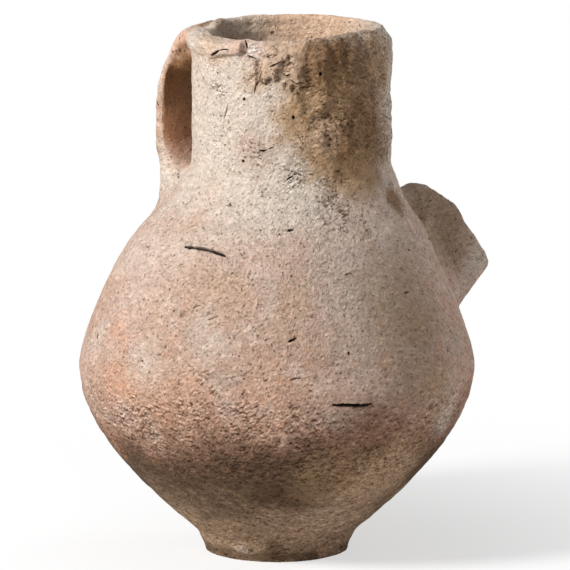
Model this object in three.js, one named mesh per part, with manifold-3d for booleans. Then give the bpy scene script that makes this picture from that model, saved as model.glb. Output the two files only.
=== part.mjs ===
// A strainer-spout jug of coarse fired clay, as the potter put it together: a foot disc, a thrown lower and
// upper body, a neck with a lip band, a strap handle with a lap over the lip, an open trough spout that has
// broken off short, and the coils of clay that lute neck, handle and spout to the shoulder.
// Millimetres, +Z up. The origin is the middle of the foot's underside. The handle stands on the +Y side, and
// the spout points along +X, turned a little away from the handle.
import * as THREE from "three";
import { mergeVertices } from "three/addons/utils/BufferGeometryUtils.js";
import Module from "manifold-3d";

// Foot
const footHeight = 8;
const footTopRadius = 30;
const footBottomRadius = 26.6;
const footEdgeWear = 1.6;

// Body: outer radii and the heights at which they are reached
const baseRadius = 30.4;
const bellyRadius = 75.2;
const bellyHeight = 70;
const shoulderRadius = 49.5;
const shoulderHeight = 128;
const lowerWallSpread = 1.12; // outward run of the wall per unit of rise where it leaves the foot
const lowerWallStart = 6;
const bellyRoundBelow = 27;
const bellyRoundAbove = 14;
const shoulderRound = 4.2;
const bodyWall = 6.5;
const floorThickness = 6.5;

// Neck and lip
const neckRadius = 37.6;
const neckWaist = 0.4;
const neckWall = 6.6;
const neckSeatRise = 6;
const neckSeatRadius = 42;
const neckHeight = 58;
const lipHeight = 8;
const lipRound = 2.6;
const neckCoilHeight = 29;
const neckCoilHollow = 9.5;
const neckCoilRise = 2.5; // how steeply the coil's outside starts at the shoulder: up, and in
const neckCoilInset = 1;

// The neck leans a little towards the side between the spout and the side that faces away from the handle
const leanDistance = 5.5;
const leanAngle = -45;
const leanStart = 106;
const leanEnd = 152;

// Lip damage and the handle's lap
const notchAngle = 204;
const notchRadius = 5.4;
const notchDepth = 4.6;
const lapEndAngle = 196;
const lapThickness = 2;
const lapProud = 1.4;

// Strap handle
const handleGap = 12.5;
const strapWidth = 25;
const strapThickness = 9.2;
const strapTopFlare = 2;
const strapRootThickness = 20;
const strapRootWidth = 28;
const strapTopDrop = 8.5; // from the top of the lip down to the strap's centre line
const strapRootSink = 6; // how far the strap's end lies below the place where its outside meets the shoulder
const handleCoilReach = 5;
const handleCoilClimb = 4;

// Spout trough and the strainer behind it
const spoutAngle = -10;
const spoutTilt = 46;
const spoutHalfWidth = 20;
const spoutWall = 5.6;
const spoutRootHeight = 77.6;
const spoutLength = 29.5;
const spoutWallTop = 135.3;
const spoutCoilReach = 5;
const spoutCoilTop = 1.4; // how far up the trough's sides the coil climbs, in half widths
const spoutCoilDrop = 1.5;
const strainerHoleRadius = 2;
const strainerRingRadius = 8;
const strainerRingHoles = 6;
const strainerRise = 2.5;

// Fillets: how full their hollow is, as a share of their reach, and how far their edges stand off and sink in
const filletFullness = 0.35;
const filletEdge = 0.8;

// Clearance left between pieces that seat on a curved neighbour
const seatGap = 0.3;

const turns = 48;
const leanSteps = 5;
const strapSides = 20;
const strapSteps = 26;
const strapRootShare = 0.55;
const handleCoilSteps = 28;
const spoutArcSteps = 14;
const spoutSideSteps = 4;
const neckSeatHeight = shoulderHeight + neckSeatRise;
const lipTop = neckSeatHeight + neckHeight + lipHeight;

const wasm = await Module();
wasm.setup();

const radians = THREE.MathUtils.degToRad;
const point = (r, z) => new THREE.Vector2(r, z);

// A closed geometry as a solid that can be cut and joined.
function solidOf(geometry) {
  const bare = new THREE.BufferGeometry();
  bare.setAttribute("position", geometry.getAttribute("position"));
  if (geometry.index) bare.setIndex(geometry.index);
  const merged = mergeVertices(bare, 1e-4);
  return new wasm.Manifold(
    new wasm.Mesh({
      numProp: 3,
      vertProperties: merged.attributes.position.array,
      triVerts: new Uint32Array(merged.index.array),
    }),
  );
}

function geometryOf(solid) {
  const mesh = solid.getMesh();
  const geometry = new THREE.BufferGeometry();
  geometry.setAttribute("position", new THREE.BufferAttribute(mesh.vertProperties, 3));
  geometry.setIndex(new THREE.BufferAttribute(mesh.triVerts, 1));
  geometry.computeVertexNormals();
  return geometry;
}

// How far the jug's axis stands off the foot's at height z.
function lean(z) {
  const share = THREE.MathUtils.smoothstep(z, leanStart, leanEnd);
  return new THREE.Vector2(Math.cos(radians(leanAngle)), Math.sin(radians(leanAngle)))
    .multiplyScalar(leanDistance * share);
}

function leanAll(geometry) {
  const places = geometry.getAttribute("position");
  for (let i = 0; i < places.count; i++) {
    const shift = lean(places.getZ(i));
    places.setXY(i, places.getX(i) + shift.x, places.getY(i) + shift.y);
  }
  return geometry;
}

// An outline with a point more wherever it crosses one of the heights at which the lean is followed.
function stepped(outline) {
  const result = [outline[0]];
  for (let i = 1; i < outline.length; i++) {
    const [from, to] = [outline[i - 1], outline[i]];
    const shares = [];
    for (let k = 0; k <= leanSteps; k++) {
      const share = (THREE.MathUtils.lerp(leanStart, leanEnd, k / leanSteps) - from.y) / (to.y - from.y);
      if (share > 0.02 && share < 0.98) shares.push(share);
    }
    shares.sort((a, b) => a - b).forEach((share) => result.push(from.clone().lerp(to, share)));
    result.push(to);
  }
  return result;
}

// A solid turned about the jug's leaning axis from a closed outline, listed from the bottom inside, outwards
// and up.
function turned(outline) {
  const closed = outline[0].x === 0 ? outline : [...outline, outline[0]];
  const geometry = new THREE.LatheGeometry(stepped(closed), turns).rotateX(Math.PI / 2);
  return solidOf(leanAll(geometry));
}

// A prism standing on an outline drawn in the plane of side and up, between two places along the third axis.
function prism(outline, depth) {
  return new THREE.ExtrudeGeometry(new THREE.Shape(outline), { depth, bevelEnabled: false });
}

// The outer outline of the body, from the foot up to the neck's seat, in three named stretches.
const lowerDirection = point(lowerWallSpread, 1).normalize();
const lowerWall = new THREE.CubicBezierCurve(
  point(baseRadius, footHeight),
  point(baseRadius, footHeight).addScaledVector(lowerDirection, lowerWallStart),
  point(bellyRadius, bellyHeight - bellyRoundBelow),
  point(bellyRadius, bellyHeight),
);
const upperWall = new THREE.CubicBezierCurve(
  point(bellyRadius, bellyHeight),
  point(bellyRadius, bellyHeight + bellyRoundAbove),
  point(shoulderRadius + shoulderRound, shoulderHeight - shoulderRound * 0.2),
  point(shoulderRadius, shoulderHeight),
);
const neckFoot = point(neckRadius, shoulderHeight + neckCoilHeight);
const neckRoot = new THREE.CubicBezierCurve(
  point(shoulderRadius, shoulderHeight),
  point(shoulderRadius - neckCoilInset, shoulderHeight + neckCoilRise),
  point(neckRadius, shoulderHeight + neckCoilHollow),
  neckFoot,
);

// An outline moved sideways along its own normals, to the left of its direction where distance is positive.
function offset(points, distance) {
  return points.map((p, i) => {
    const before = points[Math.max(i - 1, 0)];
    const after = points[Math.min(i + 1, points.length - 1)];
    const along = after.clone().sub(before).normalize();
    return point(p.x - along.y * distance, p.y + along.x * distance);
  });
}

// The outer radius of the whole jug at height z, neck coil included.
const skinPoints = [...lowerWall.getPoints(24), ...upperWall.getPoints(24), ...neckRoot.getPoints(24)];
function skinRadius(z) {
  if (z <= skinPoints[0].y) return skinPoints[0].x;
  for (let i = 1; i < skinPoints.length; i++) {
    const [low, high] = [skinPoints[i - 1], skinPoints[i]];
    if (z <= high.y && high.y > low.y) {
      return THREE.MathUtils.mapLinear(z, low.y, high.y, low.x, high.x);
    }
  }
  return neckRadius;
}

// How much the skin's radius grows per unit of rise.
function skinSlope(z) {
  const step = 0.5;
  return (skinRadius(z + step) - skinRadius(z - step)) / (2 * step);
}

// How far a place stands off the jug's outer skin.
function distanceToSkin(place) {
  const centre = lean(place.z);
  const reach = Math.hypot(place.x - centre.x, place.y - centre.y);
  return (reach - skinRadius(place.z)) / Math.hypot(1, skinSlope(place.z));
}

// The outward direction square to the skin beside a place.
function skinNormal(place) {
  const centre = lean(place.z);
  const away = new THREE.Vector2(place.x - centre.x, place.y - centre.y).normalize();
  return new THREE.Vector3(away.x, away.y, -skinSlope(place.z)).normalize();
}

// The jug's outer skin as one filled solid, grown by a clearance: what the added pieces are cut back from.
function filledJug(grow) {
  const wallPoints = [
    ...lowerWall.getPoints(8),
    ...upperWall.getPoints(9).slice(1),
    ...neckRoot.getPoints(8).slice(1),
  ];
  const grown = offset(wallPoints, -grow);
  const top = lipTop + 2 * lipHeight;
  return turned([
    point(0, grown[0].y),
    ...grown,
    point(neckRadius + grow, top),
    point(0, top),
  ]);
}
const jugWithGap = filledJug(seatGap);

function footDisc() {
  const side = footHeight - footEdgeWear;
  return turned([
    point(0, 0),
    point(footBottomRadius, 0),
    point(footBottomRadius + footEdgeWear * 0.8, footEdgeWear * 0.9),
    point(footTopRadius - 0.3, side),
    point(footTopRadius, footHeight),
    point(0, footHeight),
  ]);
}

function lowerBody() {
  const outside = lowerWall.getPoints(8);
  const floor = footHeight + floorThickness;
  const inside = offset(lowerWall.getPoints(6), bodyWall).reverse().filter((p) => p.y > floor + 2);
  inside[0].set(bellyRadius - bodyWall, bellyHeight);
  return turned([
    point(0, footHeight),
    ...outside,
    ...inside,
    point(baseRadius - bodyWall * 0.6, floor),
    point(0, floor),
  ]);
}

// The trough lies along a line that climbs away from the shoulder, with its side and its up square to it.
const spoutOut = new THREE.Vector3(Math.cos(radians(spoutAngle)), Math.sin(radians(spoutAngle)), 0);
const spoutSide = new THREE.Vector3(spoutOut.y, -spoutOut.x, 0);
const rising = (level, height) => spoutOut.clone().multiplyScalar(level).setZ(height);
const spoutAlong = rising(Math.cos(radians(spoutTilt)), Math.sin(radians(spoutTilt)));
const spoutUp = rising(-Math.sin(radians(spoutTilt)), Math.cos(radians(spoutTilt)));
const spoutBase = rising(skinRadius(spoutRootHeight), spoutRootHeight);
const spoutAxis = spoutBase.clone().addScaledVector(spoutUp, spoutHalfWidth);

function upperBody() {
  const outside = [...upperWall.getPoints(9), point(neckSeatRadius, neckSeatHeight)];
  const inside = offset(upperWall.getPoints(6), bodyWall).reverse();
  inside[inside.length - 1].set(bellyRadius - bodyWall, bellyHeight);
  let body = turned([...outside, point(neckRadius - neckWall, neckSeatHeight), ...inside]);
  for (const hole of strainerHoles()) body = body.subtract(hole);
  return body;
}

// The strainer: one hole and a ring of holes round it, pierced through the shoulder along the trough.
function strainerHoles() {
  const centre = spoutAxis.clone().addScaledVector(spoutUp, strainerRise);
  const length = 3 * spoutHalfWidth;
  const holes = [];
  for (let i = 0; i <= strainerRingHoles; i++) {
    const turn = (i * 2 * Math.PI) / strainerRingHoles;
    const ring = i < strainerRingHoles ? strainerRingRadius : 0;
    const place = centre
      .clone()
      .addScaledVector(spoutUp, ring * Math.cos(turn))
      .addScaledVector(spoutSide, ring * Math.sin(turn));
    const pin = new THREE.CylinderGeometry(strainerHoleRadius, strainerHoleRadius, length, 12);
    pin.applyQuaternion(new THREE.Quaternion().setFromUnitVectors(new THREE.Vector3(0, 1, 0), spoutAlong));
    pin.translate(place.x, place.y, place.z);
    holes.push(solidOf(pin));
  }
  return holes;
}

function neck() {
  const top = neckSeatHeight + neckHeight;
  const waist = (neckSeatHeight + top) / 2 + neckHeight / 4;
  return turned([
    point(neckRadius - neckWall, neckSeatHeight),
    point(neckRadius, neckSeatHeight),
    point(neckRadius, waist - neckHeight / 4),
    point(neckRadius - neckWaist, waist),
    point(neckRadius, top),
    point(neckRadius - neckWall, top),
    point(neckRadius - neckWall - neckWaist, waist),
  ]);
}

function neckCoil() {
  const seatSlope = Math.atan2(neckSeatHeight - shoulderHeight, shoulderRadius - neckSeatRadius);
  const lift = seatGap / Math.cos(seatSlope);
  const inner = neckRadius + seatGap;
  const outer = neckRoot.getPoints(8).filter((p) => p.x > inner + seatGap);
  return turned([
    point(inner, neckSeatHeight + lift),
    point(neckSeatRadius, neckSeatHeight + lift),
    point(shoulderRadius, shoulderHeight + lift),
    ...outer.slice(1),
    point(inner, outer[outer.length - 1].y),
  ]);
}

// The space that the lap may fill, in plan: from beside the strap round the leaning neck to the lap's end,
// with its start moved towards the strap and its end away from it by a clearance.
function lapRoom(clearance) {
  const reach = 2 * neckRadius;
  const centre = lean(lipTop);
  const start = clearance - strapWidth / 2 - strapTopFlare - seatGap;
  const startAngle = Math.acos((start - centre.x) / reach);
  const endAngle = radians(lapEndAngle) + clearance / neckRadius;
  const corners = [point(start, centre.y + Math.tan(endAngle) * (start - centre.x))];
  const steps = 6;
  for (let i = 0; i <= steps; i++) {
    const angle = THREE.MathUtils.lerp(startAngle, endAngle, i / steps);
    corners.push(point(centre.x + reach * Math.cos(angle), centre.y + reach * Math.sin(angle)));
  }
  const room = prism(corners, 4 * lipHeight);
  room.translate(0, 0, lipTop - 2 * lipHeight);
  return solidOf(room);
}

const lapSideRadius = neckRadius - lapThickness + lapProud;
const lapSeatHeight = lipTop - lapThickness;

function lipBand() {
  const seat = lipTop - lipHeight;
  const inner = neckRadius - neckWall;
  let band = turned([
    point(inner, seat),
    point(neckRadius, seat),
    point(neckRadius + 0.2, seat + lipHeight * 0.4),
    point(neckRadius - lipRound * 0.25, lipTop - lipRound),
    point(neckRadius - lipRound, lipTop),
    point(inner + lipRound * 0.6, lipTop),
    point(inner, lipTop - lipRound),
  ]);
  const room = turned([
    point(inner - lapThickness, lapSeatHeight - seatGap),
    point(lapSideRadius - seatGap, lapSeatHeight - seatGap),
    point(lapSideRadius - seatGap, seat - lapThickness),
    point(neckRadius + neckWall, seat - lapThickness),
    point(neckRadius + neckWall, lipTop + neckWall),
    point(inner - lapThickness, lipTop + neckWall),
  ]);
  band = band.subtract(room.intersect(lapRoom(seatGap)));
  return band.subtract(notch());
}

// The gap in the lip beside the end of the lap.
function notch() {
  const angle = radians(notchAngle);
  const centre = lean(lipTop);
  const cutter = new THREE.CylinderGeometry(notchRadius, notchRadius, 2 * neckWall, 14).rotateZ(Math.PI / 2);
  cutter.translate(neckRadius - neckWall / 2, 0, lipTop + notchRadius - notchDepth);
  cutter.rotateZ(angle);
  cutter.translate(centre.x, centre.y, 0);
  return solidOf(cutter);
}

function handleLap() {
  const seat = lipTop - lipHeight + seatGap;
  const inner = neckRadius - neckWall;
  const outer = neckRadius + lapProud;
  const lap = turned([
    point(lapSideRadius, seat + 0.5),
    point(outer - 0.5, seat),
    point(outer, seat + lipHeight * 0.4),
    point(outer - 0.4, lipTop - 1.4),
    point(outer - 2.2, lipTop),
    point(inner + 2.2, lipTop),
    point(inner + 0.9, lipTop - 1.2),
    point(inner + 0.9, lapSeatHeight),
    point(lapSideRadius, lapSeatHeight),
  ]);
  return lap.intersect(lapRoom(0));
}

// The height above the belly at which the skin's radius has come down to a given one.
function heightOfSkin(radius) {
  let [low, high] = [bellyHeight, neckFoot.y];
  for (let i = 0; i < 24; i++) {
    const middle = (low + high) / 2;
    if (skinRadius(middle) > radius) low = middle;
    else high = middle;
  }
  return low;
}

// The strap's centre line in the plane x = 0, from inside the lip to inside the shoulder, with its half width
// and half thickness at each place. The heights are shares of the way down, the places out shares of the gap.
function strapStations() {
  const wallAt = (z) => skinRadius(z) + lean(z).y;
  const top = lipTop - strapTopDrop;
  const halfWidth = strapWidth / 2;
  const half = strapThickness / 2;
  const rootHalf = strapRootThickness / 2;
  const bar = wallAt(neckFoot.y) + handleGap + half;
  const outside = bar + half;
  const bottom = heightOfSkin(outside) - strapRootSink;
  const level = (share) => THREE.MathUtils.lerp(top, bottom, share);
  return [
    { y: wallAt(top) - handleGap * 0.24, z: level(-0.01), a: halfWidth + strapTopFlare, b: half * 1.2 },
    { y: wallAt(top) + handleGap * 0.36, z: level(0.01), a: halfWidth + strapTopFlare / 2, b: half * 1.06 },
    { y: bar - handleGap * 0.56, z: level(0.08), a: halfWidth, b: half },
    { y: bar - handleGap * 0.2, z: level(0.18), a: halfWidth, b: half },
    { y: bar - handleGap * 0.03, z: level(0.29), a: halfWidth, b: half },
    { y: bar, z: level(0.42), a: halfWidth, b: half },
    { y: outside - half * 1.2, z: level(0.54), a: halfWidth, b: half * 1.2 },
    { y: outside - rootHalf * 0.83, z: level(0.65), a: halfWidth, b: rootHalf * 0.75 },
    { y: outside - rootHalf * 1.06, z: level(0.76), a: strapRootWidth / 2, b: rootHalf },
    { y: outside - rootHalf * 1.06, z: level(1), a: strapRootWidth / 2, b: rootHalf },
  ];
}

// A closed loft through rings of places that all have as many corners. Its ends are capped, or it closes on
// itself as a hoop.
function loft(rings, hoop = false) {
  const sides = rings[0].length;
  const places = [];
  const faces = [];
  rings.forEach((ring) => ring.forEach((p) => places.push(p.x, p.y, p.z)));
  for (let i = 0; i < rings.length - (hoop ? 0 : 1); i++) {
    const [from, to] = [i * sides, ((i + 1) % rings.length) * sides];
    for (let j = 0; j < sides; j++) {
      const next = (j + 1) % sides;
      faces.push(from + j, from + next, to + next, from + j, to + next, to + j);
    }
  }
  const last = (rings.length - 1) * sides;
  for (let j = 1; j + 1 < sides && !hoop; j++) {
    faces.push(0, j + 1, j, last, last + j, last + j + 1);
  }
  const geometry = new THREE.BufferGeometry();
  geometry.setAttribute("position", new THREE.Float32BufferAttribute(places, 3));
  geometry.setIndex(faces);
  return solidOf(geometry);
}

// The place between two values at which a line of places crosses the skin, by halving.
function crossing(placeAt, inside, outside) {
  for (let i = 0; i < 24; i++) {
    const middle = (inside + outside) / 2;
    if (distanceToSkin(placeAt(middle)) < 0) inside = middle;
    else outside = middle;
  }
  return placeAt((inside + outside) / 2);
}

// Clay pressed into the corner between the skin and a piece that stands on it. Each of the corner's places
// comes with the piece's outward side, how far the clay climbs the piece and how far it reaches on the skin.
function fillet(corners, hoop) {
  const rings = corners.map(({ at, side, climb, reach }) => {
    const skin = skinNormal(at);
    const meeting = skin.dot(side);
    const up = skin.clone().addScaledVector(side, -meeting).normalize();
    const out = side.clone().addScaledVector(skin, -meeting).normalize();
    const top = at.clone().addScaledVector(up, climb);
    const toe = at.clone().addScaledVector(out, reach);
    const bend = at.clone().lerp(top.clone().add(toe).sub(at), filletFullness);
    const hollow = new THREE.QuadraticBezierCurve3(
      top.clone().addScaledVector(side, filletEdge),
      bend,
      toe.clone().addScaledVector(skin, filletEdge),
    );
    return [
      ...hollow.getPoints(4),
      toe.addScaledVector(skin, -filletEdge),
      at.clone().addScaledVector(skin, -filletEdge).addScaledVector(side, -filletEdge),
      top.addScaledVector(side, -filletEdge),
    ];
  });
  return loft(rings, hoop);
}

// A place on the strap's surface: so far along it, and so far round its rounded-square section.
function strapSurface(share, turn, grow) {
  const stations = strapStations();
  const line = new THREE.CatmullRomCurve3(stations.map((s) => new THREE.Vector3(0, s.y, s.z)));
  const along = line.getTangent(share);
  const outward = new THREE.Vector3(0, -along.z, along.y);
  const at = share * (stations.length - 1);
  const low = stations[Math.floor(at)];
  const high = stations[Math.min(Math.floor(at) + 1, stations.length - 1)];
  const halfWidth = THREE.MathUtils.lerp(low.a, high.a, at % 1) + grow;
  const half = THREE.MathUtils.lerp(low.b, high.b, at % 1) + grow;
  const squared = (x) => Math.sign(x) * Math.abs(x) ** 0.8;
  return line.getPoint(share)
    .add(new THREE.Vector3(halfWidth * squared(Math.cos(turn)), 0, 0))
    .addScaledVector(outward, half * squared(Math.sin(turn)));
}

function strapLoft(grow) {
  const rings = [];
  for (let i = 0; i <= strapSteps; i++) {
    const ring = [];
    for (let j = 0; j < strapSides; j++) {
      ring.push(strapSurface(i / strapSteps, (-j * 2 * Math.PI) / strapSides, grow));
    }
    rings.push(ring);
  }
  return loft(rings);
}

function handle() {
  return strapLoft(0).subtract(jugWithGap);
}

// The collar of clay pressed round the foot of the handle. It reaches twice as far down the outside.
function handleCoil() {
  const corners = [];
  for (let j = 0; j < handleCoilSteps; j++) {
    const turn = (j * 2 * Math.PI) / handleCoilSteps;
    const at = crossing((share) => strapSurface(share, turn, 0), 1, strapRootShare);
    const side = new THREE.Vector3(Math.cos(turn) / strapRootWidth, Math.sin(turn) / strapRootThickness, 0);
    const reach = handleCoilReach * (1 + Math.max(Math.sin(turn), 0));
    corners.push({ at, side: side.normalize(), climb: handleCoilClimb, reach });
  }
  return fillet(corners, true).subtract(strapLoft(seatGap)).subtract(jugWithGap);
}

// The trough's section runs from the top of one side, down and under a half round, to the top of the other.
function spoutSection(radius, top) {
  const section = [];
  for (let i = -spoutSideSteps; i <= spoutArcSteps + spoutSideSteps; i++) {
    const turn = Math.PI * (THREE.MathUtils.clamp(i, 0, spoutArcSteps) / spoutArcSteps);
    const side = spoutSide.clone().multiplyScalar(Math.cos(turn)).addScaledVector(spoutUp, -Math.sin(turn));
    const height = (top * Math.max(-i, i - spoutArcSteps, 0)) / spoutSideSteps;
    const place = spoutAxis.clone().addScaledVector(side, radius).addScaledVector(spoutUp, height);
    section.push({ side, place });
  }
  return section;
}

// The trough filled in, as a bar with a half-round underside, from inside the shoulder to past its tip.
function spoutBar(radius) {
  const section = spoutSection(radius, 2.6 * spoutHalfWidth);
  return loft([-1.4 * spoutHalfWidth, 1.3 * spoutLength].map((distance) =>
    section.map(({ place }) => place.clone().addScaledVector(spoutAlong, distance)),
  ));
}

// The line along which the trough has broken, seen from the side: from the neck's foot out to the tip. Places
// are how far past the tip, as a share of the length, and how far above the trough's middle, in half widths.
function breakOutline(dip) {
  const tilt = radians(spoutTilt);
  const tip = spoutAxis.clone().addScaledVector(spoutAlong, spoutLength);
  const tipReach = tip.dot(spoutOut);
  const from = skinRadius(spoutWallTop) - spoutWall;
  const place = (past, above) => {
    const along = (past - dip) * spoutLength;
    const up = above * spoutHalfWidth;
    const reach = tipReach + along * Math.cos(tilt) - up * Math.sin(tilt);
    return point(reach, tip.z + along * Math.sin(tilt) + up * Math.cos(tilt));
  };
  return [
    point(from, spoutWallTop),
    place(-0.23, 1.98),
    place(-0.156, 1.92),
    place(-0.088, 1.86),
    place(-0.017, 1.73),
    place(0.05, 1.36),
    place(0.12, 0.9),
    place(0.105, 0.71),
    place(0.05, 0.44),
    place(0.03, 0.1),
    place(-0.02, -0.44),
    place(-0.02, -1.1),
    place(-1, -2.2),
    point(from, tip.z - 3 * spoutHalfWidth),
  ];
}

// The space that the broken trough still fills, raised by a distance. Its near wall is the longer one.
function spoutRemains(raised) {
  const halves = [0, 0.1].map((dip, i) => {
    const half = prism(breakOutline(dip), 2 * spoutHalfWidth).rotateX(Math.PI / 2);
    return solidOf(half.translate(0, i ? 2 * spoutHalfWidth : 0, raised).rotateZ(radians(spoutAngle)));
  });
  return halves[0].add(halves[1]);
}

function spout() {
  return spoutBar(spoutHalfWidth)
    .subtract(spoutBar(spoutHalfWidth - spoutWall))
    .intersect(spoutRemains(0))
    .subtract(jugWithGap);
}

// The fillet of clay round the root of the trough, on its outside.
function spoutCoil() {
  const corners = spoutSection(spoutHalfWidth, spoutCoilTop * spoutHalfWidth).map(({ side, place }) => {
    const placeAt = (distance) => place.clone().addScaledVector(spoutAlong, distance);
    const at = crossing(placeAt, -2 * spoutHalfWidth, spoutLength);
    return { at, side, climb: spoutCoilReach, reach: spoutCoilReach };
  });
  return fillet(corners, false)
    .intersect(spoutRemains(-spoutCoilDrop))
    .subtract(spoutBar(spoutHalfWidth + seatGap))
    .subtract(jugWithGap);
}

// Fired clay, from cream at the neck to pinkish buff at the belly and brown underneath.
const clay = {
  cream: 0xd8c2a8,
  tan: 0xb99b7c,
  buff: 0xc9a590,
  pink: 0xcda694,
  brown: 0x8f7560,
};

const jug = new THREE.Group();
function piece(name, solid, colour) {
  const material = new THREE.MeshStandardMaterial({ color: colour, roughness: 0.95, metalness: 0 });
  const mesh = new THREE.Mesh(geometryOf(solid), material);
  mesh.name = name;
  jug.add(mesh);
}

piece("foot_disc", footDisc(), clay.brown);
piece("lower_body", lowerBody(), clay.brown);
piece("upper_body", upperBody(), clay.pink);
piece("neck", neck(), clay.cream);
piece("neck_coil", neckCoil(), clay.cream);
piece("lip_band", lipBand(), clay.tan);
piece("handle_lap", handleLap(), clay.tan);
piece("handle", handle(), clay.buff);
piece("handle_coil", handleCoil(), clay.buff);
piece("spout", spout(), clay.tan);
piece("spout_coil", spoutCoil(), clay.tan);

export default jug;
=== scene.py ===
import math

import bmesh
import bpy
import numpy as np
from mathutils import Matrix, Vector
from mathutils.bvhtree import BVHTree
from mathutils.kdtree import KDTree


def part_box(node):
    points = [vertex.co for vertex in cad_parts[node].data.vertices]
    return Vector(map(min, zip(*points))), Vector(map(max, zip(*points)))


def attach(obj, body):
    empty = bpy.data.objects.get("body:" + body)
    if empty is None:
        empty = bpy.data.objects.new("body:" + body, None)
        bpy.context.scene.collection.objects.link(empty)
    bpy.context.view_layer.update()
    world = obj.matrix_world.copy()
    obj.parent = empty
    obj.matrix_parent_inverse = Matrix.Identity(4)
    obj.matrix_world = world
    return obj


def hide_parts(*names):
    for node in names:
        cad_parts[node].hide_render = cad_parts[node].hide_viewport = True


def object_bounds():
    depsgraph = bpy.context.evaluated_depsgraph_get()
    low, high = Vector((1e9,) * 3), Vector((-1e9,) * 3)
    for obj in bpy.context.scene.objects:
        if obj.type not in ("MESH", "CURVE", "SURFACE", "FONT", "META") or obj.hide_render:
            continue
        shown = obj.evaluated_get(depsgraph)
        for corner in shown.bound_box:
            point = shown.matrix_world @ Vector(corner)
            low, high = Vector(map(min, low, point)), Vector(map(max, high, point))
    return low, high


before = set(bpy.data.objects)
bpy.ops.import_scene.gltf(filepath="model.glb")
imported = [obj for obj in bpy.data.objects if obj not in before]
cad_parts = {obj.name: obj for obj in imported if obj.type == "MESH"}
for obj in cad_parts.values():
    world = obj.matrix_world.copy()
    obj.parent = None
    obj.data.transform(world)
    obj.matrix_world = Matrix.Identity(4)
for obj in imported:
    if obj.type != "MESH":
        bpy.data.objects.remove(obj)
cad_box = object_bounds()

# The looks of a coarse fired-clay jug. Its skin is one mesh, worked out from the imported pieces, roughened and
# carved as the clay is, and then cut again into closed pieces. Lengths are in metres.
MM = 0.001
PHOTO_SIDE = 570
PHOTO_MIDDLE = PHOTO_SIDE / 2

# The camera: where it stands and what it aims at
CAMERA_AZIMUTH = math.radians(-45)
CAMERA_ELEVATION = math.radians(10)
CAMERA_DISTANCE = 1.8
LENS = 301
SENSOR = 36
AIM_ASIDE = 3.2 * MM
AIM_HEIGHT = 101 * MM

# The turned wall
TURNS = 224    # corners in a ring
RING_STEP = 1.5 * MM
RING_MARGIN = 0.3 * MM    # from the jug's ends to the first ring and the last
EDGE_ROUND = 1.2 * MM    # how far the foot's edge and the lip's two edges are drawn in
LIP_ROUND_HEIGHT = 9 * MM
LIP_ROUND_DEPTH = 1.1 * MM
SKIN_SHRINK = 0.15 * MM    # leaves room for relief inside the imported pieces' box
OUTSIDE_DEPTH = 3 * MM    # a point deeper in the skin than this is on the inner wall
WALL_MIDDLE = 3.4 * MM    # about half of the wall's thickness

# The mesh
VOXEL = 0.7 * MM
SEAM_FILL = 0.5 * MM
SMALLEST_PART = 500    # points; a loose part with fewer is a flake
SHARP_ANGLE = math.radians(48)
BEYOND = 0.3    # clear of the whole jug
OVERSHOOT = 20 * MM    # how far the filled skin stands out above and below the jug
REGION_MARGIN = 3 * MM
REGION_SKIN = 0.9 * MM    # how far outside the skin the handle and the spout are cut off

# Relief
STRAP_START = 20 * MM    # the strap lies beyond this, towards +Y
STRAP_SAG = 3.8 * MM
STRAP_RISE = 0.7 * MM
STRAP_SCOOP = 4.2 * MM
PIT_DEPTH = 0.42    # as a share of a pit's radius

# The share of its inner wall's detail that each piece keeps
INSIDE_DETAIL = {"fired_lower_body": 0.08, "fired_upper_body": 0.12, "fired_neck": 0.22}

# The spout and the strainer behind it
SPOUT_AZIMUTH = math.radians(-10)
SPOUT_TILT = math.radians(46)
SPOUT_ROOT_HEIGHT = 77.6 * MM
SPOUT_HALF_WIDTH = 20 * MM
STRAINER_RISE = 2.5 * MM
STRAINER_RING = 8 * MM
STRAINER_RING_HOLES = 6
STRAINER_HOLE = 2 * MM
STRAINER_HOLE_SIDES = 14
STRAINER_START = -8 * MM
STRAINER_END = 24 * MM

# The cutters for straw voids, cracks and holes
GROOVE_SIDES = 8
GROOVE_STEPS = 4    # between two marks of its track
GROOVE_END = 0.12    # how blunt its ends are, in radians of the sine that tapers it

# The stage
FLOOR_HALF = 6
KEY_POWER = 33
EDGE_POWER = 6
SURROUND_STRENGTH = 0.4
LIT_POINT = Vector((0, 0, 0.1))

RIGHT = Vector((math.cos(CAMERA_AZIMUTH), math.sin(CAMERA_AZIMUTH), 0))
AHEAD = Vector((
    -math.sin(CAMERA_AZIMUTH) * math.cos(CAMERA_ELEVATION),
    math.cos(CAMERA_AZIMUTH) * math.cos(CAMERA_ELEVATION),
    -math.sin(CAMERA_ELEVATION),
))
UP = RIGHT.cross(AHEAD)
AIM = RIGHT * AIM_ASIDE + Vector((0, 0, AIM_HEIGHT))
CAMERA_PLACE = AIM - AHEAD * CAMERA_DISTANCE

random = np.random.default_rng(11)


def ray_through(column, row):
    """The direction from the camera through a place in the photograph."""
    focal = LENS / SENSOR * PHOTO_SIDE
    return (AHEAD * focal + RIGHT * (column - PHOTO_MIDDLE) + UP * (PHOTO_MIDDLE - row)).normalized()


# Noise

def lattice(cells, seed):
    """A steady value from -1 to 1 for each cell of a lattice."""
    mixed = cells[:, 0] * 374761393 + cells[:, 1] * 668265263 + cells[:, 2] * 2147483647 + seed * 974711
    mixed = (mixed ^ (mixed >> 13)) * 1274126177
    mixed = mixed ^ (mixed >> 16)
    return (mixed & 0xFFFF) / 32767.5 - 1


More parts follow.
